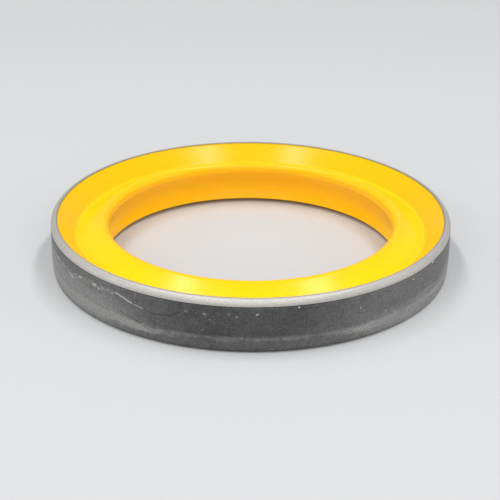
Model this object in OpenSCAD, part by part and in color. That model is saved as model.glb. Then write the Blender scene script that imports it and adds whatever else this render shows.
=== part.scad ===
// Metal-cased wiper seal for a hydraulic cylinder rod.
// A drawn steel case of L-shaped section holds a polyurethane wiper that is bonded into it.
// The seal lies on the flange of its case, with the wiping lip on top. Sizes are in millimetres.

/* [Steel case] */
// Outside diameter, the press fit in the housing
case_od = 75; // [70:0.5:90]
// Height from the flange's outer face to the rim
case_height = 10; // [9:0.25:13]
// Thickness of the sheet
sheet = 1.25; // [1:0.05:1.6]
// Width of the flange, from the outside diameter inwards
flange_width = 6; // [4:0.25:7]
// Radius on the outer edge of the rim
rim_round = 1.1; // [0.5:0.05:1.4]
// Height of the tapered lead-in above the flange
lead_in_height = 2.6; // [1.5:0.1:4]
// Depth of the lead-in, measured on the radius
lead_in_depth = 0.2; // [0.1:0.05:0.4]
// Outside radius of the bend between wall and flange
bend_outside = 0.9; // [0.5:0.1:1.4]
// Inside radius of the bend between wall and flange
bend_inside = 0.4; // [0.2:0.1:1]

/* [Wiping lip] */
// Diameter of the rod
rod_d = 55; // [50:0.5:56]
// How much smaller the free lip is than the rod, on the diameter
lip_bite = 1.6; // [0.8:0.1:2.4]
// Drop from the rim to the top of the lip
lip_drop = 1.1; // [0.8:0.05:2]
// Radius on the edge of the lip
lip_round = 1.2; // [0.6:0.1:1.4]
// Length of the straight land below the rounded edge
lip_land = 0.5; // [0.4:0.05:1]

/* [Wiper body] */
// Drop from the rim to where the wiper meets the case
bond_drop = 0.15; // [0.1:0.05:0.4]
// Width of the slope from the case down to the valley
slope_width = 3.5; // [2.5:0.1:4.5]
// Drop from the rim to the bottom of the valley
valley_drop = 3.5; // [3:0.1:4]
// Radius in the bottom of the valley
valley_round = 0.5; // [0.3:0.1:1.5]
// Drop from the rim to the middle of the relief groove in the bore
groove_drop = 6; // [5.5:0.1:6.5]
// Depth of the relief groove, measured from the rod
groove_depth = 1; // [0.5:0.05:1.2]
// Radius in the relief groove
groove_round = 3; // [1:0.1:4]
// Radial clearance between the rod and the heel of the bore
heel_clearance = 0.05; // [0.02:0.01:0.2]
// Height of the heel's edge above the flange's outer face
heel_height = 1; // [0.8:0.05:1.2]
// Width of the bevel under the heel
heel_bevel = 0.9; // [0.4:0.05:1.2]
// How far the wiper stays above the flange's outer face
base_recess = 0.45; // [0.3:0.05:0.6]

/* [Hidden] */
$fn = 180;
// Straight steps in each rounded corner of a section
arc_steps = 8;

case_color = "#6f7072";
wiper_color = "#ffb81a";

case_r = case_od / 2;
rod_r = rod_d / 2;
lip_r = rod_r - lip_bite / 2;
case_inner_r = case_r - sheet;
flange_r = case_r - flange_width;
// The sheet's thickness limits the rounding of the rim
rim_corner = min(rim_round, 0.9 * sheet);

// Corners of the case's section, each as [radius, height]
flange_base = [flange_r, 0];
base_edge = [case_r - lead_in_depth, 0];
lead_in_top = [case_r, lead_in_height];
rim_edge = [case_r, case_height];
rim_inner = [case_inner_r, case_height];
cup_corner = [case_inner_r, sheet];
flange_top = [flange_r, sheet];

// Corners of the wiper's section, from the case inwards and down the bore
bond_edge = [case_inner_r, case_height - bond_drop];
valley = [case_inner_r - slope_width, case_height - valley_drop];
// The room up to the valley limits the rounding of the lip
lip_corner = min(lip_round, 0.45 * (valley[0] - lip_r));
lip_centre = [lip_r + lip_corner, case_height - lip_drop - lip_corner];
to_lip = lip_centre - valley;
lip_slope = atan2(to_lip[1], -to_lip[0]) + asin(lip_corner / norm(to_lip));
lip_edge = [lip_r, valley[1] + (valley[0] - lip_r) * tan(lip_slope)];
land_end = [lip_r, lip_centre[1] - lip_land];
groove = [rod_r + groove_depth, case_height - groove_drop];
heel = [rod_r + heel_clearance, heel_height];
// The bevel takes at most half of the room between the bore and the flange
bevel_width = min(heel_bevel, (flange_r - heel[0]) / 2);
heel_base = [heel[0] + bevel_width, base_recess];
flange_wrap = [flange_r, base_recess];

function unit(v) = v / norm(v);

// A turn from angle a to angle b, taken the short way round
function short_turn(a, b) = (b - a + 540) % 360 - 180;

// Points of an arc of radius r that touches both sides of a corner
function rounded(before, corner, after, r) =
    let (
        to_before = unit(before - corner),
        to_after = unit(after - corner),
        half_angle = acos(to_before * to_after) / 2,
        centre = corner + unit(to_before + to_after) * r / sin(half_angle),
        first = corner + to_before * r / tan(half_angle) - centre,
        last = corner + to_after * r / tan(half_angle) - centre,
        start = atan2(first[1], first[0]),
        turn = short_turn(start, atan2(last[1], last[0]))
    )
    [for (i = [0:arc_steps])
        let (angle = start + turn * i / arc_steps)
        centre + r * [cos(angle), sin(angle)]];

// Inside of the bend, which case and wiper share
inner_bend = rounded(rim_inner, cup_corner, flange_top, bend_inside);

case_section = concat(
    [flange_base],
    rounded(flange_base, base_edge, lead_in_top, bend_outside),
    [lead_in_top],
    rounded(lead_in_top, rim_edge, rim_inner, rim_corner),
    [rim_inner],
    inner_bend,
    [flange_top]
);

wiper_section = concat(
    [bond_edge],
    inner_bend,
    [flange_top, flange_wrap, heel_base, heel],
    rounded(heel, groove, land_end, groove_round),
    [land_end],
    rounded(land_end, lip_edge, valley, lip_corner),
    rounded(lip_edge, valley, bond_edge, valley_round)
);

// Drawn steel cup: press-fit wall, lead-in, rounded rim and inward flange
module steel_case() {
    color(case_color) rotate_extrude() polygon(case_section);
}

// Moulded wiper: valley behind the lip, relieved bore and heel, bonded to wall and flange
module polyurethane_wiper() {
    color(wiper_color) rotate_extrude() polygon(wiper_section);
}

steel_case();
polyurethane_wiper();
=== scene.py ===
"""Dressed model of a metal-cased wiper seal for a hydraulic cylinder rod.

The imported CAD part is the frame. Two turned pieces stand for its two nodes: the drawn steel case, and the
polyurethane wiper that is bonded into it. One Geometry Nodes tree sweeps both sections round the axis.
"""

from __future__ import annotations

import logging
import math
from dataclasses import dataclass
from enum import Enum
from typing import Any

import bpy
from mathutils import Matrix, Vector

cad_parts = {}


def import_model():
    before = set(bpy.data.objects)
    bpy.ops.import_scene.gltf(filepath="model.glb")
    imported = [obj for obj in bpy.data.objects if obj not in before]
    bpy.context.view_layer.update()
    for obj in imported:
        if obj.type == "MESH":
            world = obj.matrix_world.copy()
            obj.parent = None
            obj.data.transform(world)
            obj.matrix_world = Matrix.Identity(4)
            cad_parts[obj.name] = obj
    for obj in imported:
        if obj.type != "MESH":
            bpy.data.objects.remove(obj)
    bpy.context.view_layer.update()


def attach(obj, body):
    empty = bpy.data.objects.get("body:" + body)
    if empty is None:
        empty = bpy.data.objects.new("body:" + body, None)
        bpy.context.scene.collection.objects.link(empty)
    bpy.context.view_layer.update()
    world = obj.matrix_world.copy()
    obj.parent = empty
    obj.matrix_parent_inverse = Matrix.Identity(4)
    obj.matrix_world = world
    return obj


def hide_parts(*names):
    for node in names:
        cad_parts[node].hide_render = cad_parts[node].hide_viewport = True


LOG = logging.getLogger("wiper_seal")

MM = 0.001
PHOTO_PIXELS = 500
# Most values of a noise lie between these two, and half is their mean
NOISE_LOW = 0.3
NOISE_MEAN = 0.5
NOISE_HIGH = 0.7


def linear(hex_code: str) -> tuple[float, float, float, float]:
    """Turns an sRGB hex colour into a linear one.

    Args:
        hex_code: Colour such as "#ffb81a".

    Returns:
        Linear red, green and blue, and an alpha of 1.
    """
    channels = [int(hex_code[i:i + 2], 16) / 255 for i in (1, 3, 5)]
    red, green, blue = (
        c / 12.92 if c <= 0.04045 else ((c + 0.055) / 1.055) ** 2.4 for c in channels
    )
    return red, green, blue, 1.0


def add_node(
    tree: bpy.types.NodeTree, kind: str, inputs: dict[int | str, Any] | None = None, **settings: Any
) -> bpy.types.Node:
    """Adds a node with its settings and its links.

    Args:
        tree: Node tree that gets the node.
        kind: Type name of the node.
        inputs: Input name or number to a constant, or to the output socket that is linked to it.
        **settings: Properties of the node itself.

    Returns:
        The new node.
    """
    node = tree.nodes.new(kind)
    for name, value in settings.items():
        setattr(node, name, value)
    for key, value in (inputs or {}).items():
        socket = node.inputs[key]
        if isinstance(value, bpy.types.NodeSocket):
            tree.links.new(value, socket)
        else:
            socket.default_value = value
    return node


@dataclass(frozen=True)
class Corner:
    """One corner of a turned section, in millimetres.

    The rounding is the radius on the corner, and the run step divides the straight run after it.
    """

    radius: float
    height: float
    rounding: float = 0.0
    run_step: float = 0.4

    @property
    def point(self) -> Vector:
        """The corner as a 2-D point."""
        return Vector((self.radius, self.height))


@dataclass(frozen=True)
class Section:
    """Closed outline of a turned piece, given by its corners."""

    corners: tuple[Corner, ...]
    arc_step_deg: float = 7.0

    def points(self) -> list[Vector]:
        """Rounds each corner and divides the straight runs.

        Returns:
            Points of the closed outline as (radius, height) in millimetres.
        """
        arcs = [self._arc(i) for i in range(len(self.corners))]
        outline: list[Vector] = []
        for corner, arc, following in zip(self.corners, arcs, arcs[1:] + arcs[:1]):
            outline.extend(arc)
            run = following[0] - arc[-1]
            steps = max(1, math.ceil(run.length / corner.run_step))
            outline.extend(arc[-1] + run * (i / steps) for i in range(1, steps))
        return outline

    def _arc(self, index: int) -> list[Vector]:
        """Points of the arc that rounds one corner, or the corner itself where it is sharp.

        Args:
            index: Number of the corner.

        Returns:
            Points along the arc, in the outline's order.
        """
        corner = self.corners[index]
        if corner.rounding <= 0:
            return [corner.point]
        to_before = (self.corners[index - 1].point - corner.point).normalized()
        to_after = (self.corners[(index + 1) % len(self.corners)].point - corner.point).normalized()
        half_angle = to_before.angle(to_after) / 2
        middle = (to_before + to_after).normalized()
        centre = corner.point + middle * (corner.rounding / math.sin(half_angle))
        reach = corner.rounding / math.tan(half_angle)
        first = corner.point + to_before * reach - centre
        last = corner.point + to_after * reach - centre
        turn = math.pi - 2 * half_angle
        if first.x * last.y - first.y * last.x < 0:
            turn = -turn
        steps = max(2, math.ceil(math.degrees(abs(turn)) / self.arc_step_deg))
        return [centre + Matrix.Rotation(turn * i / steps, 2) @ first for i in range(steps + 1)]


@dataclass(frozen=True)
class SweepPlan:
    """How one turned piece is swept. Sizes are in millimetres."""

    name: str
    section: Section
    path_radius: float
    segments: int
    waviness: float
    wave_length: float
    seed: float


class RingSweep:
    """Geometry Nodes tree that sweeps a section round the axis and gives it the waviness of a real part."""

    wave_detail = 2.0

    def __init__(self) -> None:
        """Builds the tree with its named inputs."""
        self.tree = bpy.data.node_groups.new("ring_sweep", "GeometryNodeTree")
        self.tree.is_modifier = True
        self.inputs: dict[str, str] = {}
        self._declare("Section", "NodeSocketGeometry")
        self._declare("Path Radius", "NodeSocketFloat")
        self._declare("Segments", "NodeSocketInt")
        self._declare("Waviness", "NodeSocketFloat")
        self._declare("Wave Length", "NodeSocketFloat")
        self._declare("Seed", "NodeSocketFloat")
        self._declare("Material", "NodeSocketMaterial")
        self.tree.interface.new_socket("Ring", in_out="OUTPUT", socket_type="NodeSocketGeometry")
        self._wire()

    def _declare(self, name: str, kind: str) -> None:
        """Adds a named input and keeps its identifier.

        Args:
            name: Name of the input.
            kind: Type of its socket.
        """
        socket = self.tree.interface.new_socket(name, in_out="INPUT", socket_type=kind)
        self.inputs[name] = socket.identifier

    def _wire(self) -> None:
        """Adds the nodes: circle, sweep, waviness along the normal, smooth shading and material."""
        tree = self.tree
        entry = add_node(tree, "NodeGroupInput").outputs
        section = add_node(tree, "GeometryNodeMeshToCurve", {"Mesh": entry["Section"]})
        circle = add_node(
            tree, "GeometryNodeCurvePrimitiveCircle",
            {"Resolution": entry["Segments"], "Radius": entry["Path Radius"]}, mode="RADIUS",
        )
        path = add_node(tree, "GeometryNodeSetCurveNormal", {"Curve": circle.outputs["Curve"]}, mode="Z_UP")
        swept = add_node(
            tree, "GeometryNodeCurveToMesh",
            {"Curve": path.outputs["Curve"], "Profile Curve": section.outputs["Curve"]},
        )
        # The sections run anticlockwise, which leaves the swept faces turned inwards
        outward = add_node(tree, "GeometryNodeFlipFaces", {"Mesh": swept.outputs["Mesh"]})
        scale = add_node(tree, "ShaderNodeMath", {0: 1.0, 1: entry["Wave Length"]}, operation="DIVIDE")
        noise = add_node(
            tree, "ShaderNodeTexNoise",
            {"W": entry["Seed"], "Scale": scale.outputs[0], "Detail": self.wave_detail},
            noise_dimensions="4D",
        )
        # The waviness only takes material off, so that the piece keeps within its section and lies flat
        inward = add_node(tree, "ShaderNodeMath", {0: noise.outputs[0], 1: 1.0}, operation="SUBTRACT")
        height = add_node(
            tree, "ShaderNodeMath", {0: inward.outputs[0], 1: entry["Waviness"]}, operation="MULTIPLY"
        )
        normal = add_node(tree, "GeometryNodeInputNormal")
        offset = add_node(
            tree, "ShaderNodeVectorMath",
            {0: normal.outputs["Normal"], "Scale": height.outputs[0]}, operation="SCALE",
        )
        waved = add_node(
            tree, "GeometryNodeSetPosition",
            {"Geometry": outward.outputs["Mesh"], "Offset": offset.outputs["Vector"]},
        )
        smooth = add_node(
            tree, "GeometryNodeSetShadeSmooth", {"Geometry": waved.outputs[0], "Shade Smooth": True}
        )
        real = add_node(tree, "GeometryNodeRealizeInstances", {"Geometry": smooth.outputs[0]})
        dressed = add_node(
            tree, "GeometryNodeSetMaterial", {"Geometry": real.outputs[0], "Material": entry["Material"]}
        )
        add_node(tree, "NodeGroupOutput", {"Ring": dressed.outputs[0]})

    def make(self, plan: SweepPlan, material: bpy.types.Material) -> bpy.types.Object:
        """Sweeps one section and turns the result into a plain mesh.

        Args:
            plan: How the piece is swept.
            material: Finish of the piece.

        Returns:
            The finished object, at the origin.
        """
        outline = plan.section.points()
        count = len(outline)
        draft = bpy.data.meshes.new(f"{plan.name}_section")
        # A swept curve's own axes are the outward radius and straight down
        draft.from_pydata(
            [((p.x - plan.path_radius) * MM, -p.y * MM, 0) for p in outline],
            [(i, (i + 1) % count) for i in range(count)], [],
        )
        carrier = bpy.data.objects.new(plan.name, draft)
        bpy.context.scene.collection.objects.link(carrier)
        modifier = carrier.modifiers.new("ring_sweep", "NODES")
        modifier.node_group = self.tree
        values = {
            "Path Radius": plan.path_radius * MM, "Segments": plan.segments, "Waviness": plan.waviness * MM,
            "Wave Length": plan.wave_length * MM, "Seed": plan.seed, "Material": material,
        }
        for label, value in values.items():
            modifier[self.inputs[label]] = value
        graph = bpy.context.evaluated_depsgraph_get()
        mesh = bpy.data.meshes.new_from_object(carrier.evaluated_get(graph))
        mesh.name = plan.name
        carrier.modifiers.remove(modifier)
        carrier.data = mesh
        bpy.data.meshes.remove(draft)
        return carrier


class Tone(Enum):
    """What a mark on the case's wall shows: how wide its soft edge is, and how strong it is at most."""

    SCUFFED = (0.5, 0.16)
    BARE = (0.5, 1.0)
    DARK = (0.8, 0.42)

    def __init__(self, edge: float, strength: float) -> None:
        """Names the two values.

        Args:
            edge: Share of the mark's width over which it fades.
            strength: Strength in the middle of the mark.
        """
        self.edge = edge
        self.strength = strength


@dataclass(frozen=True)
class WallTrail:
    """A mark that runs along the case's wall, or a fleck where it has one point.

    Points are degrees round the axis from the front, and millimetres above the flange. The width is in
    millimetres.
    """

    tone: Tone
    width: float
    points: tuple[tuple[float, float], ...]

    def stretches(self, radius: float) -> list[tuple[Vector, Vector]]:
        """Straight stretches of the mark on the unrolled wall.

        Args:
            radius: Radius of the wall in millimetres.

        Returns:
            Start and end of each stretch as (distance round the wall, height, 0).
        """
        spots = [Vector((math.radians(angle) * radius, height, 0)) for angle, height in self.points]
        return list(zip(spots, spots[1:])) or [(spots[0], spots[0])]


@dataclass(frozen=True)
class WallPatch:
    """A soft paler oval on the case's wall: skin rubbed thin where it is small, painted reflected light where
    it is broad, on the flanks.

    Angles are degrees round the axis from the front, heights are millimetres above the flange.
    """

    angle_deg: float
    height: float
    half_angle_deg: float
    half_height: float
    strength: float


@dataclass(frozen=True)
class Flecks:
    """Scattered small flecks.

    The spacing is in millimetres, the largest radius is a share of it, and missing is the share of flecks
    that are left out.
    """

    spacing: float
    largest: float
    missing: float
    # Share of the largest radius that is full strength
    core: float = 0.2

    def build(self, tree: bpy.types.NodeTree, place: bpy.types.NodeSocket) -> bpy.types.NodeSocket:
        """Adds the flecks, of uneven size and strength.

        Args:
            tree: The material's tree.
            place: Object coordinates in millimetres.

        Returns:
            The mask.
        """
        cells = add_node(tree, "ShaderNodeTexVoronoi", {"Vector": place, "Scale": 1 / self.spacing}).outputs
        draws = add_node(tree, "ShaderNodeSeparateColor", {0: cells["Color"]}).outputs
        size = add_node(
            tree, "ShaderNodeMapRange", {0: draws[1], 3: self.largest / 2, 4: self.largest}
        ).outputs[0]
        spot = add_node(
            tree, "ShaderNodeMapRange", {0: cells["Distance"], 1: size, 2: self.largest * self.core},
            interpolation_type="SMOOTHSTEP",
        ).outputs[0]
        shown = add_node(tree, "ShaderNodeMapRange", {0: draws[0], 1: self.missing, 2: 1.0}).outputs[0]
        return add_node(tree, "ShaderNodeMath", {0: spot, 1: shown}, operation="MULTIPLY").outputs[0]


@dataclass(frozen=True)
class SteelGround:
    """What the layers of the steel share: tree, place and height in mm, and three noises, broad to fine."""

    tree: bpy.types.NodeTree
    place: bpy.types.NodeSocket
    height: bpy.types.NodeSocket
    clouds: bpy.types.Node
    mottle: bpy.types.Node
    grain: bpy.types.Node


@dataclass(frozen=True)
class DrawnSteel:
    """Deep-drawn mild steel with a thin phosphate skin, trimmed bare at the rim. Sizes are in mm.

    A pair of values belongs to the low and the high end of a noise.
    """

    # The skin gives a dull, blotchy dark grey; rubbing bares paler steel, and the same pale grey is painted
    # on the flanks as reflected light; the trimmed rim is satin and pale
    skin_dark_hex: str = "#454545"
    skin_light_hex: str = "#6a6a6a"
    rubbed_and_reflection_hex: str = "#a4a4a2"
    bare_hex: str = "#b8b5b0"
    joint_shade_hex: str = "#5c584f"
    # Dark of the scratches, also used for the painted shade line under the rim
    scratch_and_shade_hex: str = "#2a2a2a"
    wall_radius: float = 37.5
    # Painted shade: a fine dark line under the bare rim
    rim_line: float = 8.8
    rim_blend: float = 0.03
    shade_line_height: float = 0.2
    shade_line_strength: float = 0.95
    # Painted shade on the rim where the wiper joins it
    joint_shade_radius: float = 36.4
    joint_shade_blend: float = 0.15
    joint_shade_strength: float = 0.45
    # Worn crease at the top of the lead-in, with the paler lead-in below it
    crease_line: float = 2.65
    crease_core: float = 0.05
    crease_reach: tuple[float, float] = (0.45, 1.0)
    crease_clouds: tuple[float, float] = (0.35, 0.65)
    crease_depth: tuple[float, float] = (0.15, 0.5)
    lead_in_above: float = 0.1
    lead_in_below: float = 0.5
    lead_in_strength: float = 0.18
    # Sizes of the three noises, and how far they sway heights, patches and marks. The skin's real crystals
    # are hundredths of a millimetre and wouldn't show, so the grain is drawn coarser
    cloud_size: float = 8.0
    mottle_size: float = 1.5
    grain_size: float = 0.3
    noise_detail: float = 4.0
    noise_roughness: float = 0.6
    cloud_sway: float = 0.9
    mottle_sway: float = 0.5
    patch_sway: float = 4.0
    mark_sway: float = 0.35
    # Share of a patch that has its full strength
    patch_core: float = 0.45
    skin_weights: tuple[float, float, float] = (0.9, 0.8, 0.9)
    mottle_speckle: tuple[float, float] = (0.93, 1.07)
    pit_shade: float = 0.62
    worn_speckle: tuple[float, float] = (0.82, 1.18)
    bare_noise: tuple[float, float] = (0.25, 0.75)
    bare_speckle: tuple[float, float] = (0.78, 1.12)
    wall_flecks: Flecks = Flecks(1.3, 0.2, 0.7)
    chips: Flecks = Flecks(0.5, 0.7, 0.0)
    roughness: tuple[float, float] = (0.5, 0.6)
    bare_roughness_change: float = -0.03
    bare_metallic: float = 0.5
    mottle_relief: float = 0.8
    cut_relief: float = -1.5
    relief_strength: float = 0.4
    relief_depth: float = 0.02

    def build(self, trails: tuple[WallTrail, ...], patches: tuple[WallPatch, ...]) -> bpy.types.Material:
        """Builds the node tree.

        Args:
            trails: Scuffs and scratches of the wall.
            patches: Rubbed parts of the wall, and broad ovals of painted reflected light on the flanks.

        Returns:
            The material.
        """
        material = bpy.data.materials.new("phosphated_drawn_steel")
        material.use_nodes = True
        tree = material.node_tree
        ground = self._ground(tree)
        unrolled = self._unrolled(ground)
        masks = self._trails(ground, unrolled, trails)
        wear_and_reflection = self._patches(ground, unrolled, self._crease(ground), patches)
        skin = self._skin(ground, wear_and_reflection, masks[Tone.DARK])
        bare = self._bare(ground, masks)
        colour = add_node(
            tree, "ShaderNodeMix", {0: bare, 6: skin, 7: self._bare_steel(ground)}, data_type="RGBA"
        ).outputs[2]
        rough = add_node(
            tree, "ShaderNodeMapRange",
            {0: ground.mottle.outputs[0], 1: NOISE_LOW, 2: NOISE_HIGH,
             3: self.roughness[0], 4: self.roughness[1]},
        ).outputs[0]
        rough = add_node(
            tree, "ShaderNodeMath", {0: bare, 1: self.bare_roughness_change, 2: rough},
            operation="MULTIPLY_ADD",
        ).outputs[0]
        metal = add_node(tree, "ShaderNodeMapRange", {0: bare, 3: 1.0, 4: self.bare_metallic}).outputs[0]
        shader = tree.nodes["Principled BSDF"]
        tree.links.new(colour, shader.inputs["Base Color"])
        tree.links.new(rough, shader.inputs["Roughness"])
        tree.links.new(metal, shader.inputs["Metallic"])
        tree.links.new(self._relief(ground, masks), shader.inputs["Normal"])
        return material

    def _ground(self, tree: bpy.types.NodeTree) -> SteelGround:
        """Adds what the layers share.

        Args:
            tree: The material's tree.

        Returns:
            Place, height and noises.
        """
        coords = add_node(tree, "ShaderNodeTexCoord").outputs["Object"]
        place = add_node(
            tree, "ShaderNodeVectorMath", {0: coords, "Scale": 1 / MM}, operation="SCALE"
        ).outputs[0]
        clouds, mottle, grain = (
            add_node(
                tree, "ShaderNodeTexNoise",
                {"Vector": place, "Scale": 1 / size, "Detail": self.noise_detail,
                 "Roughness": self.noise_roughness},
            )
            for size in (self.cloud_size, self.mottle_size, self.grain_size)
        )
        height = add_node(tree, "ShaderNodeSeparateXYZ", {0: place}).outputs["Z"]
        return SteelGround(tree, place, height, clouds, mottle, grain)

    def _skin(
        self, ground: SteelGround, wear_and_reflection: bpy.types.NodeSocket, scratched: bpy.types.NodeSocket
    ) -> bpy.types.NodeSocket:
        """Adds the blotchy grey of the skin, paler where it is worn and where reflected light is painted on
        the flanks, dark in scratches and in the painted shade line under the rim.

        Args:
            ground: What the layers share.
            wear_and_reflection: How far the skin is rubbed off, with the painted reflected light of the
                flanks.
            scratched: Mask of the dark scratches.

        Returns:
            The colour.
        """
        tree = ground.tree
        mottle = ground.mottle.outputs[0]
        grain = ground.grain.outputs[0]
        tone: bpy.types.NodeSocket | float = NOISE_MEAN - sum(self.skin_weights) * NOISE_MEAN
        for noise, weight in zip((ground.clouds, ground.mottle, ground.grain), self.skin_weights):
            tone = add_node(
                tree, "ShaderNodeMath", {0: noise.outputs[0], 1: weight, 2: tone}, operation="MULTIPLY_ADD"
            ).outputs[0]
        colour = add_node(
            tree, "ShaderNodeMix", {0: tone, 6: linear(self.skin_dark_hex), 7: linear(self.skin_light_hex)},
            data_type="RGBA",
        ).outputs[2]
        patchy = add_node(
            tree, "ShaderNodeMapRange",
            {0: grain, 1: NOISE_LOW, 2: NOISE_HIGH, 3: self.worn_speckle[0], 4: self.worn_speckle[1]},
            clamp=False,
        ).outputs[0]
        wear_and_reflection = add_node(
            tree, "ShaderNodeMath", {0: wear_and_reflection, 1: patchy}, operation="MULTIPLY", use_clamp=True
        ).outputs[0]
        # Paler grey where the skin is rubbed off, and painted reflected light on the flanks
        colour = add_node(
            tree, "ShaderNodeMix", {0: wear_and_reflection, 6: colour, 7: linear(self.rubbed_and_reflection_hex)}, data_type="RGBA"
        ).outputs[2]
        speckle = add_node(
            tree, "ShaderNodeMapRange",
            {0: mottle, 1: NOISE_LOW, 2: NOISE_HIGH, 3: self.mottle_speckle[0], 4: self.mottle_speckle[1]},
            clamp=False,
        ).outputs[0]
        speckle = add_node(
            tree, "ShaderNodeMapRange", {0: grain, 1: 0.0, 2: NOISE_MEAN, 3: self.pit_shade, 4: speckle},
            clamp=False,
        ).outputs[0]
        colour = add_node(
            tree, "ShaderNodeVectorMath", {0: colour, "Scale": speckle}, operation="SCALE"
        ).outputs[0]
        # Painted shade: darkens a thin band just under the rim
        rim_shade_line = add_node(
            tree, "ShaderNodeMapRange",
            {0: ground.height, 1: self.rim_line - self.shade_line_height, 2: self.rim_line - self.rim_blend,
             3: 0.0, 4: self.shade_line_strength},
        ).outputs[0]
        for shade in (scratched, rim_shade_line):
            colour = add_node(
                tree, "ShaderNodeMix", {0: shade, 6: colour, 7: linear(self.scratch_and_shade_hex)}, data_type="RGBA"
            ).outputs[2]
        return colour

    def _bare(
        self, ground: SteelGround, masks: dict[Tone, bpy.types.NodeSocket]
    ) -> bpy.types.NodeSocket:
        """Adds the mask of bare steel: the rim, scuffs, scratches and scattered flecks.

        Args:
            ground: What the layers share.
            masks: Masks of the wall's marks.

        Returns:
            The mask.
        """
        tree = ground.tree
        rim = add_node(
            tree, "ShaderNodeMapRange",
            {0: ground.height, 1: self.rim_line - self.rim_blend, 2: self.rim_line + self.rim_blend},
        ).outputs[0]
        bare = self.wall_flecks.build(tree, ground.place)
        for mask in (masks[Tone.SCUFFED], masks[Tone.BARE], rim):
            bare = add_node(tree, "ShaderNodeMath", {0: bare, 1: mask}, operation="MAXIMUM").outputs[0]
        return bare

    def _bare_steel(self, ground: SteelGround) -> bpy.types.NodeSocket:
        """Adds the colour of bare steel, with painted shade where the wiper joins the rim.

        Args:
            ground: What the layers share.

        Returns:
            The colour.
        """
        tree = ground.tree
        bright = add_node(
            tree, "ShaderNodeMapRange",
            {0: ground.grain.outputs[0], 1: self.bare_noise[0], 2: self.bare_noise[1],
             3: self.bare_speckle[0], 4: self.bare_speckle[1]},
        ).outputs[0]
        steel = add_node(
            tree, "ShaderNodeVectorMath", {0: linear(self.bare_hex)[:3], "Scale": bright}, operation="SCALE"
        ).outputs[0]
        flat = add_node(
            tree, "ShaderNodeVectorMath", {0: ground.place, 1: (1.0, 1.0, 0.0)}, operation="MULTIPLY"
        ).outputs[0]
        radius = add_node(tree, "ShaderNodeVectorMath", {0: flat}, operation="LENGTH").outputs["Value"]
        # Painted shade: darkens the rim's inner edge beside the wiper
        joint_shade = add_node(
            tree, "ShaderNodeMapRange",
            {0: radius, 1: self.joint_shade_radius + self.joint_shade_blend, 2: self.joint_shade_radius,
             3: 0.0, 4: self.joint_shade_strength},
        ).outputs[0]
        return add_node(
            tree, "ShaderNodeMix", {0: joint_shade, 6: steel, 7: linear(self.joint_shade_hex)}, data_type="RGBA"
        ).outputs[2]

    def _relief(
        self, ground: SteelGround, masks: dict[Tone, bpy.types.NodeSocket]
    ) -> bpy.types.NodeSocket:
        """Adds the fine relief of the skin, with its scratches cut in.

        Args:
            ground: What the layers share.
            masks: Masks of the wall's marks.

        Returns:
            The normal.
        """
        tree = ground.tree
        relief = add_node(
            tree, "ShaderNodeMath",
            {0: ground.mottle.outputs[0], 1: self.mottle_relief, 2: ground.grain.outputs[0]},
            operation="MULTIPLY_ADD",
        ).outputs[0]
        cut = add_node(
            tree, "ShaderNodeMath", {0: masks[Tone.BARE], 1: masks[Tone.DARK]}, operation="MAXIMUM"
        ).outputs[0]
        relief = add_node(
            tree, "ShaderNodeMath", {0: cut, 1: self.cut_relief, 2: relief}, operation="MULTIPLY_ADD"
        ).outputs[0]
        return add_node(
            tree, "ShaderNodeBump",
            {"Strength": self.relief_strength, "Distance": self.relief_depth * MM, "Height": relief},
        ).outputs[0]

    def _crease(self, ground: SteelGround) -> bpy.types.NodeSocket:
        """Adds the pale rubbed line at the top of the lead-in, and the paler lead-in below it.

        Args:
            ground: What the layers share.

        Returns:
            How far the skin is rubbed off there.
        """
        tree = ground.tree
        clouds = ground.clouds.outputs[0]
        mottle = ground.mottle.outputs[0]
        uneven = ground.height
        for noise, sway in ((clouds, self.cloud_sway), (mottle, self.mottle_sway)):
            uneven = add_node(
                tree, "ShaderNodeMath", {0: noise, 1: sway, 2: uneven}, operation="MULTIPLY_ADD"
            ).outputs[0]
        mean_sway = (self.cloud_sway + self.mottle_sway) * NOISE_MEAN
        uneven = add_node(tree, "ShaderNodeMath", {0: uneven, 1: mean_sway}, operation="SUBTRACT").outputs[0]
        below = add_node(
            tree, "ShaderNodeMapRange",
            {0: uneven, 1: self.crease_line + self.lead_in_above, 2: self.crease_line - self.lead_in_below,
             3: 0.0, 4: self.lead_in_strength},
            interpolation_type="SMOOTHSTEP",
        ).outputs[0]
        away = add_node(
            tree, "ShaderNodeMath", {0: uneven, 1: self.crease_line}, operation="SUBTRACT"
        ).outputs[0]
        away = add_node(tree, "ShaderNodeMath", {0: away}, operation="ABSOLUTE").outputs[0]
        reach = add_node(
            tree, "ShaderNodeMapRange",
            {0: clouds, 1: self.crease_clouds[0], 2: self.crease_clouds[1],
             3: self.crease_reach[0], 4: self.crease_reach[1]},
        ).outputs[0]
        depth = add_node(
            tree, "ShaderNodeMapRange",
            {0: mottle, 1: NOISE_LOW, 2: NOISE_HIGH, 3: self.crease_depth[0], 4: self.crease_depth[1]},
        ).outputs[0]
        line = add_node(
            tree, "ShaderNodeMapRange", {0: away, 1: reach, 2: self.crease_core, 3: 0.0, 4: depth},
            interpolation_type="SMOOTHSTEP",
        ).outputs[0]
        return add_node(tree, "ShaderNodeMath", {0: line, 1: below}, operation="MAXIMUM").outputs[0]

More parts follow.
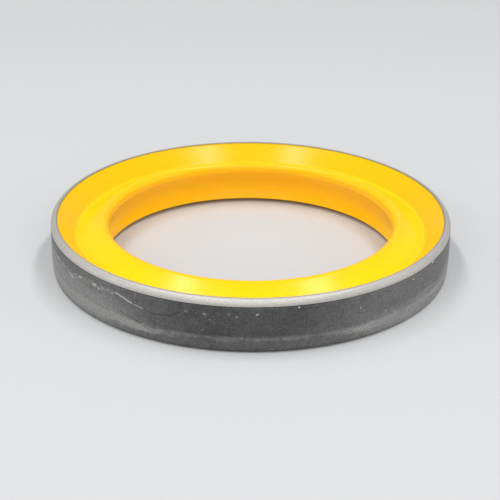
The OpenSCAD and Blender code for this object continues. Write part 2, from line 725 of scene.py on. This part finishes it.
    def _unrolled(self, ground: SteelGround) -> bpy.types.NodeSocket:
        """Adds the coordinates of the unrolled wall.

        Args:
            ground: What the layers share.

        Returns:
            Distance round the wall from the front, and height, in millimetres.
        """
        tree = ground.tree
        axes = add_node(tree, "ShaderNodeSeparateXYZ", {0: ground.place}).outputs
        front = add_node(tree, "ShaderNodeMath", {0: axes["Y"], 1: -1.0}, operation="MULTIPLY").outputs[0]
        angle = add_node(tree, "ShaderNodeMath", {0: axes["X"], 1: front}, operation="ARCTAN2").outputs[0]
        arc = add_node(
            tree, "ShaderNodeMath", {0: angle, 1: self.wall_radius}, operation="MULTIPLY"
        ).outputs[0]
        return add_node(tree, "ShaderNodeCombineXYZ", {0: arc, 1: axes["Z"]}).outputs[0]

    def _swayed(
        self, ground: SteelGround, unrolled: bpy.types.NodeSocket, noise: bpy.types.Node, sway: float
    ) -> bpy.types.NodeSocket:
        """Shifts the unrolled coordinates by noise, so that marks have uneven edges.

        Args:
            ground: What the layers share.
            unrolled: Coordinates of the unrolled wall.
            noise: Noise whose colour gives the shift.
            sway: Largest spread of the shift in millimetres.

        Returns:
            The shifted coordinates.
        """
        centred = add_node(
            ground.tree, "ShaderNodeVectorMath", {0: noise.outputs["Color"], 1: (NOISE_MEAN,) * 3},
            operation="SUBTRACT",
        ).outputs[0]
        return add_node(
            ground.tree, "ShaderNodeVectorMath", {0: centred, 1: (sway, sway, 0.0), 2: unrolled},
            operation="MULTIPLY_ADD",
        ).outputs[0]

    def _patches(
        self, ground: SteelGround, unrolled: bpy.types.NodeSocket, wear_and_reflection: bpy.types.NodeSocket,
        patches: tuple[WallPatch, ...],
    ) -> bpy.types.NodeSocket:
        """Adds the paler ovals of the wall, rubbed skin and broad painted reflected light on the flanks, to
        the wear given.

        Args:
            ground: What the layers share.
            unrolled: Coordinates of the unrolled wall.
            wear_and_reflection: How far the skin is rubbed off elsewhere.
            patches: Rubbed parts of the wall, and broad ovals of painted reflected light on the flanks.

        Returns:
            How far the skin is rubbed off, with painted reflected light added.
        """
        tree = ground.tree
        spot = self._swayed(ground, unrolled, ground.clouds, self.patch_sway)
        for patch in patches:
            centre = (math.radians(patch.angle_deg) * self.wall_radius, patch.height, 0.0)
            half_width = math.radians(patch.half_angle_deg) * self.wall_radius
            spread = (1 / half_width, 1 / patch.half_height, 0.0)
            away = add_node(
                tree, "ShaderNodeVectorMath", {0: spot, 1: centre}, operation="SUBTRACT"
            ).outputs[0]
            away = add_node(
                tree, "ShaderNodeVectorMath", {0: away, 1: spread}, operation="MULTIPLY"
            ).outputs[0]
            gap = add_node(tree, "ShaderNodeVectorMath", {0: away}, operation="LENGTH").outputs["Value"]
            share = add_node(
                tree, "ShaderNodeMapRange", {0: gap, 1: 1.0, 2: self.patch_core, 3: 0.0, 4: patch.strength},
                interpolation_type="SMOOTHSTEP",
            ).outputs[0]
            wear_and_reflection = add_node(
                tree, "ShaderNodeMath", {0: wear_and_reflection, 1: share}, operation="ADD", use_clamp=True
            ).outputs[0]
        return wear_and_reflection

    def _trails(
        self, ground: SteelGround, unrolled: bpy.types.NodeSocket, trails: tuple[WallTrail, ...]
    ) -> dict[Tone, bpy.types.NodeSocket]:
        """Adds the scuffs and scratches of the wall, joined by tone. The scuffs are made of chips.

        Args:
            ground: What the layers share.
            unrolled: Coordinates of the unrolled wall.
            trails: Scuffs and scratches of the wall.

        Returns:
            One mask for each tone.
        """
        tree = ground.tree
        spot = self._swayed(ground, unrolled, ground.mottle, self.mark_sway)
        group = self._nearness_group()
        masks: dict[Tone, bpy.types.NodeSocket] = {}
        for tone in Tone:
            near: bpy.types.NodeSocket | float = 0.0
            for trail in (t for t in trails if t.tone is tone):
                for start, end in trail.stretches(self.wall_radius):
                    stretch = add_node(
                        tree, "ShaderNodeGroup", node_tree=group,
                        inputs={"Place": spot, "Start": start, "End": end, "Width": trail.width},
                    )
                    near = add_node(
                        tree, "ShaderNodeMath", {0: near, 1: stretch.outputs["Nearness"]},
                        operation="MAXIMUM",
                    ).outputs[0]
            masks[tone] = add_node(
                tree, "ShaderNodeMapRange", {0: near, 1: 0.0, 2: tone.edge, 3: 0.0, 4: tone.strength},
                interpolation_type="SMOOTHSTEP",
            ).outputs[0]
            if tone is Tone.SCUFFED:
                chips = add_node(
                    tree, "ShaderNodeMapRange",
                    {0: near, 1: 0.0, 2: tone.edge, 3: 0.0, 4: self.chips.build(tree, ground.place)},
                ).outputs[0]
                masks[tone] = add_node(
                    tree, "ShaderNodeMath", {0: masks[tone], 1: chips}, operation="MAXIMUM"
                ).outputs[0]
        return masks

    def _nearness_group(self) -> bpy.types.NodeTree:
        """Builds the group that says how near a point is to one straight stretch of a mark.

        Returns:
            The node group, whose output falls from 1 on the line to 0 at the width.
        """
        group = bpy.data.node_groups.new("mark_stretch", "ShaderNodeTree")
        for name, kind in (
            ("Place", "NodeSocketVector"), ("Start", "NodeSocketVector"),
            ("End", "NodeSocketVector"), ("Width", "NodeSocketFloat"),
        ):
            group.interface.new_socket(name, in_out="INPUT", socket_type=kind)
        group.interface.new_socket("Nearness", in_out="OUTPUT", socket_type="NodeSocketFloat")
        entry = add_node(group, "NodeGroupInput").outputs
        along = add_node(
            group, "ShaderNodeVectorMath", {0: entry["End"], 1: entry["Start"]}, operation="SUBTRACT"
        ).outputs[0]
        away = add_node(
            group, "ShaderNodeVectorMath", {0: entry["Place"], 1: entry["Start"]}, operation="SUBTRACT"
        ).outputs[0]
        reach = add_node(
            group, "ShaderNodeVectorMath", {0: away, 1: along}, operation="DOT_PRODUCT"
        ).outputs["Value"]
        length = add_node(
            group, "ShaderNodeVectorMath", {0: along, 1: along}, operation="DOT_PRODUCT"
        ).outputs["Value"]
        share = add_node(
            group, "ShaderNodeMath", {0: reach, 1: length}, operation="DIVIDE", use_clamp=True
        ).outputs[0]
        foot = add_node(
            group, "ShaderNodeVectorMath", {0: along, "Scale": share}, operation="SCALE"
        ).outputs[0]
        gap = add_node(
            group, "ShaderNodeVectorMath", {0: away, 1: foot}, operation="DISTANCE"
        ).outputs["Value"]
        near = add_node(
            group, "ShaderNodeMapRange", {0: gap, 1: entry["Width"], 2: 0.0, 3: 0.0, 4: 1.0}
        ).outputs[0]
        add_node(group, "NodeGroupOutput", {"Nearness": near})
        return group


@dataclass(frozen=True)
class CastPolyurethane:
    """Polyurethane cast in a smooth steel mould. Sizes are in millimetres."""

    # Cast in a smooth mould it is satin and strongly coloured. The rise to the lip keeps its plain colour;
    # painted shade makes the slope over the steel and the bore deeper and more orange
    lip_hex: str = "#ffcb0a"
    lip_cloud_hex: str = "#ffd00d"
    slope_shade_hex: str = "#ffb709"
    bore_shade_hex: str = "#ffba10"
    # The painted shade on the slope starts a little outside the valley
    slope_shade_radius: float = 33.0
    slope_shade_blend: float = 0.4
    # From this radius inwards the colour turns to the bore's painted shade. It lies outside the lip's highest
    # line, and leans with the height below the lip's top
    bore_shade_radius: float = 29.7
    bore_shade_blend: float = 2.2
    bore_shade_lean: float = 0.9
    lip_top: float = 8.9
    cloud_size: float = 7.0
    cloud_detail: float = 3.0
    # The mould's own grain is too fine to show and is drawn coarser
    grain_size: float = 0.3
    grain_detail: float = 2.0
    scatter_depth: float = 2.0
    scatter_weight: float = 0.5
    scatter_colours: tuple[float, float, float] = (1.0, 0.4, 0.06)
    refraction: float = 1.5
    gloss: float = 0.17
    roughness: tuple[float, float] = (0.18, 0.24)
    relief_strength: float = 0.05
    relief_depth: float = 0.02

    def build(self) -> bpy.types.Material:
        """Builds the node tree.

        Returns:
            The material.
        """
        material = bpy.data.materials.new("cast_polyurethane")
        material.use_nodes = True
        tree = material.node_tree
        shader = tree.nodes["Principled BSDF"]
        shader.inputs["IOR"].default_value = self.refraction
        shader.inputs["Specular IOR Level"].default_value = self.gloss
        shader.inputs["Subsurface Weight"].default_value = self.scatter_weight
        shader.inputs["Subsurface Radius"].default_value = self.scatter_colours
        shader.inputs["Subsurface Scale"].default_value = self.scatter_depth * MM
        coords = add_node(tree, "ShaderNodeTexCoord").outputs["Object"]
        place = add_node(
            tree, "ShaderNodeVectorMath", {0: coords, "Scale": 1 / MM}, operation="SCALE"
        ).outputs[0]
        clouds = add_node(
            tree, "ShaderNodeTexNoise",
            {"Vector": place, "Scale": 1 / self.cloud_size, "Detail": self.cloud_detail},
        ).outputs[0]
        grain = add_node(
            tree, "ShaderNodeTexNoise",
            {"Vector": place, "Scale": 1 / self.grain_size, "Detail": self.grain_detail},
        ).outputs[0]
        rough = add_node(
            tree, "ShaderNodeMapRange",
            {0: clouds, 1: NOISE_LOW, 2: NOISE_HIGH, 3: self.roughness[0], 4: self.roughness[1]},
        ).outputs[0]
        bump = add_node(
            tree, "ShaderNodeBump",
            {"Strength": self.relief_strength, "Distance": self.relief_depth * MM, "Height": grain},
        ).outputs[0]
        tree.links.new(self._colour(tree, place, clouds), shader.inputs["Base Color"])
        tree.links.new(rough, shader.inputs["Roughness"])
        tree.links.new(bump, shader.inputs["Normal"])
        return material

    def _colour(
        self, tree: bpy.types.NodeTree, place: bpy.types.NodeSocket, clouds: bpy.types.NodeSocket
    ) -> bpy.types.NodeSocket:
        """Adds the colour: plain on the rise to the lip, with painted shade deeper on the slope and in the
        bore.

        Args:
            tree: The material's tree.
            place: Object coordinates in millimetres.
            clouds: Broad noise.

        Returns:
            The colour.
        """
        height = add_node(tree, "ShaderNodeSeparateXYZ", {0: place}).outputs["Z"]
        flat = add_node(
            tree, "ShaderNodeVectorMath", {0: place, 1: (1.0, 1.0, 0.0)}, operation="MULTIPLY"
        ).outputs[0]
        radius = add_node(tree, "ShaderNodeVectorMath", {0: flat}, operation="LENGTH").outputs["Value"]
        below = add_node(
            tree, "ShaderNodeMath", {0: height, 1: self.lip_top}, operation="SUBTRACT"
        ).outputs[0]
        # Painted shade of the bore, starting on the lip's rounding
        leaning = add_node(
            tree, "ShaderNodeMath", {0: below, 1: self.bore_shade_lean, 2: radius}, operation="MULTIPLY_ADD"
        ).outputs[0]
        inside = add_node(
            tree, "ShaderNodeMapRange",
            {0: leaning, 1: self.bore_shade_radius, 2: self.bore_shade_radius - self.bore_shade_blend},
        ).outputs[0]
        outside = add_node(
            tree, "ShaderNodeMapRange",
            {0: radius, 1: self.slope_shade_radius - self.slope_shade_blend,
             2: self.slope_shade_radius + self.slope_shade_blend},
        ).outputs[0]
        colour = add_node(
            tree, "ShaderNodeMix", {0: clouds, 6: linear(self.lip_hex), 7: linear(self.lip_cloud_hex)},
            data_type="RGBA",
        ).outputs[2]
        # Painted shade: deeper colour on the slope, then on the bore
        for share, hex_code in ((outside, self.slope_shade_hex), (inside, self.bore_shade_hex)):
            colour = add_node(
                tree, "ShaderNodeMix", {0: share, 6: colour, 7: linear(hex_code)}, data_type="RGBA"
            ).outputs[2]
        return colour


@dataclass(frozen=True)
class SteelCase:
    """Drawn steel cup of L-shaped section. Sizes are in millimetres and follow the CAD part."""

    outer_radius: float = 37.5
    height: float = 10.0
    sheet: float = 1.25
    flange_radius: float = 31.5
    rim_round: float = 1.1
    trim_line: float = 8.72
    trim_half_width: float = 0.08
    trim_depth: float = 0.07
    lead_in_height: float = 2.6
    lead_in_depth: float = 0.2
    crease_round: float = 2.0
    bend_outside: float = 0.9
    bend_inside: float = 0.4
    cut_edge_round: float = 0.1
    hidden_step: float = 2.0
    segments: int = 800
    waviness: float = 0.03
    wave_length: float = 7.0
    seed: float = 3.0
    trails: tuple[WallTrail, ...] = (
        # Chain of scuffs on the left, with its brightest chips
        WallTrail(Tone.SCUFFED, 0.6, ((-73.0, 6.5), (-68.6, 6.6), (-60.7, 6.5), (-57.5, 5.9))),
        WallTrail(Tone.SCUFFED, 0.65, ((-57.5, 5.9), (-55.0, 6.6), (-52.7, 6.9), (-49.5, 7.0), (-46.5, 7.2))),
        WallTrail(Tone.SCUFFED, 0.55, ((-46.5, 7.2), (-44.4, 6.8), (-42.7, 7.1), (-38.7, 7.2))),
        WallTrail(Tone.BARE, 0.2, ((-68.6, 6.7), (-67.3, 6.6))),
        WallTrail(Tone.BARE, 0.16, ((-60.7, 6.8),)),
        WallTrail(Tone.BARE, 0.24, ((-57.6, 5.9), (-57.1, 5.7))),
        WallTrail(Tone.BARE, 0.2, ((-55.0, 6.8),)),
        WallTrail(Tone.BARE, 0.2, ((-53.2, 6.9), (-51.9, 7.0))),
        WallTrail(Tone.BARE, 0.16, ((-50.6, 7.0),)),
        WallTrail(Tone.BARE, 0.24, ((-46.8, 7.1), (-45.4, 7.2))),
        WallTrail(Tone.BARE, 0.18, ((-44.7, 6.9), (-44.3, 6.7))),
        WallTrail(Tone.BARE, 0.16, ((-42.7, 7.1),)),
        WallTrail(Tone.BARE, 0.18, ((-40.8, 7.3),)),
        # Row of flecks in front
        WallTrail(Tone.SCUFFED, 0.26, ((-16.9, 7.25), (-16.2, 7.15))),
        WallTrail(Tone.SCUFFED, 0.24, ((-13.9, 7.0),)),
        WallTrail(Tone.SCUFFED, 0.28, ((-11.8, 7.05), (-11.2, 6.95))),
        WallTrail(Tone.SCUFFED, 0.22, ((-7.9, 7.15),)),
        WallTrail(Tone.SCUFFED, 0.24, ((-5.6, 7.25), (-5.1, 7.2))),
        WallTrail(Tone.SCUFFED, 0.24, ((-3.3, 6.95),)),
        WallTrail(Tone.BARE, 0.14, ((1.7, 7.35), (2.1, 7.45))),
        # Rubs along the lead-in on the right
        WallTrail(Tone.SCUFFED, 0.5, ((26.0, 2.1), (33.0, 2.2))),
        WallTrail(Tone.SCUFFED, 0.5, ((60.0, 2.4), (68.0, 2.2))),
        # Bright scratch on the left, and flecks on the right
        WallTrail(Tone.BARE, 0.18, ((-37.8, 7.4), (-32.6, 6.4))),
        WallTrail(Tone.BARE, 0.08, ((-32.0, 6.3), (-28.9, 6.0))),
        WallTrail(Tone.BARE, 0.2, ((12.6, 8.4),)),
        WallTrail(Tone.BARE, 0.18, ((30.1, 6.3),)),
        WallTrail(Tone.BARE, 0.16, ((49.0, 8.0), (49.6, 7.9))),
        WallTrail(Tone.BARE, 0.14, ((53.8, 6.9),)),
        # Nick under the rim on the right
        WallTrail(Tone.BARE, 0.25, ((59.4, 8.65), (60.2, 8.5))),
        WallTrail(Tone.DARK, 0.3, ((59.8, 8.25), (61.0, 8.1))),
        # Dark scratches
        WallTrail(Tone.DARK, 0.17, ((-28.9, 5.95), (-25.3, 5.55), (-21.0, 5.8), (-18.4, 6.8))),
        WallTrail(Tone.DARK, 0.15, ((-36.5, 4.1), (-30.0, 3.25), (-26.3, 1.95))),
        WallTrail(Tone.DARK, 0.15, ((53.4, 4.97), (60.0, 4.5), (66.2, 4.0))),
        # Plain wear on the back
        WallTrail(Tone.SCUFFED, 0.7, ((128.0, 6.4), (141.0, 6.8), (149.0, 6.5))),
        WallTrail(Tone.BARE, 0.14, ((-134.0, 5.2), (-127.0, 4.6))),
    )
    # Small ovals are rubbed skin; the two broad ovals on the flanks, at -70 and 64 degrees, are painted
    # reflected light
    patches: tuple[WallPatch, ...] = (
        WallPatch(-70.0, 4.5, 62.0, 14.0, 0.3),
        WallPatch(-62.0, 3.3, 40.0, 4.3, 0.42),
        WallPatch(-46.0, 2.4, 30.0, 1.0, 0.9),
        WallPatch(64.0, 4.5, 60.0, 14.0, 0.36),
        WallPatch(62.0, 2.2, 40.0, 3.4, 0.32),
        WallPatch(42.0, 2.4, 26.0, 0.9, 0.22),
        WallPatch(138.0, 3.2, 36.0, 4.0, 0.4),
        WallPatch(-138.0, 3.8, 36.0, 4.4, 0.4),
    )

    def section(self) -> Section:
        """Outline of the cup, from the flange's edge round the outside.

        Returns:
            The section.
        """
        wall = self.outer_radius
        inner = wall - self.sheet
        return Section((
            Corner(self.flange_radius, 0.0, self.cut_edge_round, self.hidden_step),
            Corner(wall - self.lead_in_depth, 0.0, self.bend_outside),
            Corner(wall, self.lead_in_height, self.crease_round),
            Corner(wall, self.trim_line - self.trim_half_width),
            Corner(wall - self.trim_depth, self.trim_line),
            Corner(wall, self.trim_line + self.trim_half_width),
            Corner(wall, self.height, self.rim_round),
            Corner(inner, self.height, self.cut_edge_round, self.hidden_step),
            Corner(inner, self.sheet, self.bend_inside, self.hidden_step),
            Corner(self.flange_radius, self.sheet, self.cut_edge_round, self.hidden_step),
        ))

    def build(self, sweep: RingSweep, finish: DrawnSteel) -> bpy.types.Object:
        """Sweeps the case, dresses it and puts it in the frame.

        Args:
            sweep: The tree that sweeps sections.
            finish: The case's steel.

        Returns:
            The piece.
        """
        plan = SweepPlan(
            "drawn_steel_case", self.section(), self.outer_radius, self.segments, self.waviness,
            self.wave_length, self.seed,
        )
        piece = sweep.make(plan, finish.build(self.trails, self.patches))
        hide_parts("steel_case")
        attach(piece, "root")
        return piece


@dataclass(frozen=True)
class WiperRing:
    """Polyurethane wiper bonded into the case. Sizes are in millimetres and follow the CAD part."""

    bond_radius: float = 36.25
    bond_height: float = 9.85
    sheet: float = 1.25
    bend_inside: float = 0.4
    flange_radius: float = 31.5
    base_recess: float = 0.45
    heel_radius: float = 27.55
    heel_height: float = 1.0
    heel_bevel: float = 0.9
    heel_round: float = 0.12
    groove_radius: float = 28.5
    groove_height: float = 4.0
    groove_round: float = 3.0
    lip_radius: float = 26.7
    lip_top: float = 8.9
    lip_round: float = 1.2
    lip_land: float = 0.5
    valley_radius: float = 32.75
    valley_height: float = 6.5
    valley_round: float = 0.5
    hidden_step: float = 2.0
    segments: int = 720
    waviness: float = 0.008
    wave_length: float = 14.0
    seed: float = 5.0

    def _lip_corner(self) -> Corner:
        """Corner where the rise from the valley would meet the land, rounded so that the lip has its height.

        Returns:
            The corner.
        """
        centre = Vector((self.lip_radius + self.lip_round, self.lip_top - self.lip_round))
        to_lip = centre - Vector((self.valley_radius, self.valley_height))
        slope = math.atan2(to_lip.y, -to_lip.x) + math.asin(self.lip_round / to_lip.length)
        rise = (self.valley_radius - self.lip_radius) * math.tan(slope)
        return Corner(self.lip_radius, self.valley_height + rise, self.lip_round)

    def section(self) -> Section:
        """Outline of the wiper, from the bond line over the lip, down the bore and back up the case.

        Returns:
            The section.
        """
        land_end = self.lip_top - self.lip_round - self.lip_land
        return Section((
            Corner(self.bond_radius, self.bond_height),
            Corner(self.valley_radius, self.valley_height, self.valley_round),
            self._lip_corner(),
            Corner(self.lip_radius, land_end, self.heel_round),
            Corner(self.groove_radius, self.groove_height, self.groove_round),
            Corner(self.heel_radius, self.heel_height, self.heel_round),
            Corner(self.heel_radius + self.heel_bevel, self.base_recess, self.heel_round, self.hidden_step),
            Corner(self.flange_radius, self.base_recess, 0.0, self.hidden_step),
            Corner(self.flange_radius, self.sheet, 0.0, self.hidden_step),
            Corner(self.bond_radius, self.sheet, self.bend_inside, self.hidden_step),
        ))

    def build(self, sweep: RingSweep, finish: CastPolyurethane) -> bpy.types.Object:
        """Sweeps the wiper, dresses it and puts it in the frame.

        Args:
            sweep: The tree that sweeps sections.
            finish: The wiper's polyurethane.

        Returns:
            The piece.
        """
        plan = SweepPlan(
            "moulded_wiper", self.section(), self.lip_radius, self.segments, self.waviness,
            self.wave_length, self.seed,
        )
        piece = sweep.make(plan, finish.build())
        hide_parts("polyurethane_wiper")
        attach(piece, "root")
        return piece


@dataclass(frozen=True)
class SoftBox:
    """Oblong soft light that points at the seal. Sizes are in metres, power in watts."""

    name: str
    place: tuple[float, float, float]
    width: float
    depth: float
    power: float

    def build(self) -> None:
        """Adds the light."""
        light = bpy.data.lights.new(self.name, "AREA")
        light.shape = "RECTANGLE"
        light.size = self.width
        light.size_y = self.depth
        light.energy = self.power
        lamp = bpy.data.objects.new(self.name, light)
        lamp.location = self.place
        lamp.rotation_euler = (-Vector(self.place)).to_track_quat("-Z", "Y").to_euler()
        bpy.context.scene.collection.objects.link(lamp)


@dataclass(frozen=True)
class Studio:
    """Pale floor, soft light and the camera at the photograph's angle. Lengths are in millimetres."""

    camera_distance: float = 281.25
    camera_elevation_deg: float = 25.3
    camera_roll_deg: float = 0.5
    focal_pixels: float = 1470.0
    sensor_width: float = 36.0
    clip_near: float = 10.0
    clip_far: float = 10000.0
    aim_height: float = 1.84
    aim_side: float = -0.08
    floor_half: float = 1500.0
    # Matt paper gives an even pale ground without reflections
    floor_hex: str = "#c0c1c2"
    floor_roughness: float = 0.85
    dome_hex: str = "#ffffff"
    dome_level: float = 0.4
    boxes: tuple[SoftBox, ...] = (
        SoftBox("left_bar", (-0.2, -0.03, 0.62), 0.5, 0.06, 1.7),
        SoftBox("right_bar", (0.2, -0.03, 0.62), 0.5, 0.06, 1.7),
        SoftBox("front_fill", (0.0, -0.8, 0.5), 1.2, 0.7, 4.5),
        SoftBox("left_fill", (-0.7, -0.1, 0.25), 0.6, 0.4, 1.4),
        SoftBox("right_fill", (0.7, -0.1, 0.25), 0.6, 0.4, 1.1),
    )

    def build(self) -> None:
        """Adds floor, lights, world and camera."""
        self._floor()
        for box in self.boxes:
            box.build()
        self._world()
        self._camera()

    def _floor(self) -> None:
        """Adds the plain floor."""
        half = self.floor_half * MM
        mesh = bpy.data.meshes.new("floor")
        corners = [(-half, -half, 0), (half, -half, 0), (half, half, 0), (-half, half, 0)]
        mesh.from_pydata(corners, [], [(0, 1, 2, 3)])
        material = bpy.data.materials.new("matt_paper")
        material.use_nodes = True
        shader = material.node_tree.nodes["Principled BSDF"]
        shader.inputs["Base Color"].default_value = linear(self.floor_hex)
        shader.inputs["Roughness"].default_value = self.floor_roughness
        mesh.materials.append(material)
        floor = bpy.data.objects.new("floor", mesh)
        bpy.context.scene.collection.objects.link(floor)

    def _world(self) -> None:
        """Adds an even dome of soft light."""
        world = bpy.data.worlds.new("studio_dome")
        world.use_nodes = True
        background = world.node_tree.nodes["Background"]
        background.inputs["Color"].default_value = linear(self.dome_hex)
        background.inputs["Strength"].default_value = self.dome_level
        bpy.context.scene.world = world

    def _camera(self) -> None:
        """Adds the camera."""
        elevation = math.radians(self.camera_elevation_deg)
        place = Vector((0, -math.cos(elevation), math.sin(elevation))) * self.camera_distance * MM
        aim = Vector((self.aim_side, 0, self.aim_height)) * MM
        data = bpy.data.cameras.new("photo_camera")
        data.sensor_width = self.sensor_width
        data.lens = self.focal_pixels / PHOTO_PIXELS * self.sensor_width
        data.clip_start = self.clip_near * MM
        data.clip_end = self.clip_far * MM
        camera = bpy.data.objects.new("photo_camera", data)
        turn = (aim - place).to_track_quat("-Z", "Y").to_matrix().to_4x4()
        roll = Matrix.Rotation(math.radians(self.camera_roll_deg), 4, "Z")
        camera.matrix_world = Matrix.Translation(place) @ turn @ roll
        bpy.context.scene.collection.objects.link(camera)
        bpy.context.scene.camera = camera


def main() -> None:
    """Loads the frame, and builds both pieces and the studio."""
    logging.basicConfig(level=logging.INFO, format="%(name)s: %(message)s")
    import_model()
    bpy.context.scene.view_settings.view_transform = "Standard"
    sweep = RingSweep()
    for piece in (
        SteelCase().build(sweep, DrawnSteel()),
        WiperRing().build(sweep, CastPolyurethane()),
    ):
        LOG.info("%s: %d faces", piece.name, len(piece.data.polygons))
    Studio().build()


if __name__ == "__main__":
    main()
